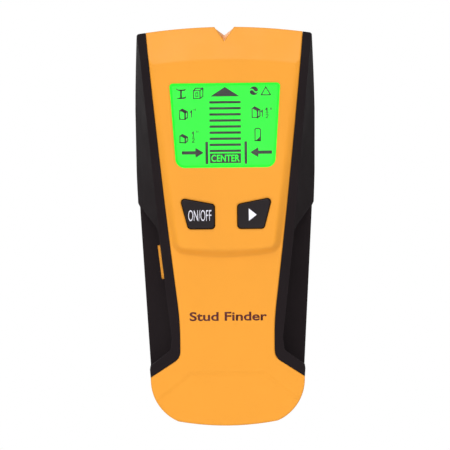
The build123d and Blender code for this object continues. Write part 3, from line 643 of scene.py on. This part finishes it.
def make_marks():
    """The legends of the two front keys and the words on the handle."""
    words = lettering("power_legend", "ON/OFF", POWER_BOX, -0.006)
    power = laid_on(words, "power_key_cap", LEGEND_PROUD, MARK_DEPTH)
    finish_piece("power_legend", power, legend, "power_key")

    work = bmesh.new()
    work.faces.new([work.verts.new((x * MM, 0, (z + DATUM) * MM)) for x, z in MODE_POINTER])
    bmesh.ops.subdivide_edges(work, edges=work.edges[:], cuts=3, use_grid_fill=True)
    pointer = bpy.data.meshes.new("mode_legend")
    work.to_mesh(pointer)
    work.free()
    mode = laid_on(pointer, "mode_key_cap", LEGEND_PROUD, MARK_DEPTH)
    finish_piece("mode_legend", mode, legend, "mode_key")

    words = lettering("handle_print", "Stud Finder", PRINT_BOX, 0.022)
    handle = laid_on(words, "front_shell", PRINT_PROUD, MARK_DEPTH)
    finish_piece("handle_print", handle, maroon, "housing")


# ---------------------------------------------------------------- floor, light and camera
FLOOR_DROP = 0.16  # metres from the tool down to the floor
FLOOR_HALF = 4.0
FLOOR_GLOW = 0.1  # evens the floor out to the white of the surroundings
AMBIENT = 0.62  # what the white surroundings light the object with from the front
SIDE_AMBIENT = 0.12  # and from the sides
FRONT_REACH = 0.3  # how far aside, out of 1, the front's light reaches in full
SIDE_REACH = 0.85  # and from where on only the side's light is left
LENS_LENGTH = 600.0
SENSOR = 36.0
FRAMED = 0.1853  # height of the picture at the object, in metres
ROLL = 0.6  # degrees that the tool leans in the picture
CAMERA_X = -0.0005  # metres that the camera stands to the left


def make_floor():
    """Plain pale floor, a little uneven in tone."""
    work = bmesh.new()
    bmesh.ops.create_grid(work, x_segments=40, y_segments=40, size=FLOOR_HALF)
    ground = bpy.data.meshes.new("floor")
    work.to_mesh(ground)
    work.free()
    floor = bpy.data.objects.new("floor", ground)
    floor.location.z = CAD_LOW.z - FLOOR_DROP
    bpy.context.scene.collection.objects.link(floor)
    shade = Shade("pale_floor")
    patches = shade.spread(shade.noise(0.4, 2.0), 0, 1)
    pale = shade.use(
        Base_Color=shade.mix(patches, (0.93, 0.93, 0.93, 1), (0.95, 0.95, 0.95, 1)),
        Roughness=shade.spread(shade.noise(0.05, 2.0), 0.75, 0.85),
        Emission_Color=(1, 1, 1, 1),
        Emission_Strength=FLOOR_GLOW,
    )
    floor.data.materials.append(pale)


def make_world():
    """White surroundings that light the object less from its sides than from the front."""
    world = bpy.data.worlds.new("studio")
    bpy.context.scene.world = world
    world.use_nodes = True
    nodes, link = world.node_tree.nodes, world.node_tree.links.new
    direction = nodes.new("ShaderNodeSeparateXYZ")
    link(nodes.new("ShaderNodeTexCoord").outputs["Generated"], direction.inputs["Vector"])
    sideways = nodes.new("ShaderNodeMath")
    sideways.operation = "ABSOLUTE"
    link(direction.outputs["X"], sideways.inputs[0])
    fall = nodes.new("ShaderNodeMapRange")
    reach = (("From Min", FRONT_REACH), ("From Max", SIDE_REACH))
    for name, number in (*reach, ("To Min", AMBIENT), ("To Max", SIDE_AMBIENT)):
        fall.inputs[name].default_value = number
    link(sideways.outputs["Value"], fall.inputs["Value"])
    seen = nodes.new("ShaderNodeLightPath")
    level = nodes.new("ShaderNodeMapRange")
    level.inputs["To Max"].default_value = 1.0
    link(seen.outputs["Is Camera Ray"], level.inputs["Value"])
    link(fall.outputs["Result"], level.inputs["To Min"])
    nodes["Background"].inputs["Color"].default_value = (1, 1, 1, 1)
    link(level.outputs["Result"], nodes["Background"].inputs["Strength"])


def soft_sun(name, towards, strength, spread):
    """Even light from that direction, as soft as a wide diffuser of spread degrees."""
    light = bpy.data.lights.new(name, "SUN")
    light.energy = strength
    light.angle = math.radians(spread)
    lamp = bpy.data.objects.new(name, light)
    lamp.rotation_mode = "QUATERNION"
    lamp.rotation_quaternion = Vector(towards).to_track_quat("Z", "Y")
    bpy.context.scene.collection.objects.link(lamp)


def make_camera():
    """A long lens, nearly square on to the display."""
    camera_data = bpy.data.cameras.new("camera")
    camera_data.lens = LENS_LENGTH
    camera_data.sensor_width = SENSOR
    camera = bpy.data.objects.new("camera", camera_data)
    distance = FRAMED * LENS_LENGTH / SENSOR
    camera.location = (CAMERA_X, (CAD_LOW.y + CAD_HIGH.y) / 2 - distance, DATUM * MM)
    camera.rotation_euler = (math.radians(90), math.radians(ROLL), 0)
    bpy.context.scene.collection.objects.link(camera)
    bpy.context.scene.camera = camera


make_display()
make_marks()
make_floor()
make_world()
soft_sun("light_top", (-0.2, -0.76, 0.62), 2.1, 50)
soft_sun("light_back", (-0.3, 0.8, 0.5), 0.9, 60)
make_camera()
bpy.context.scene.view_settings.view_transform = "Standard"
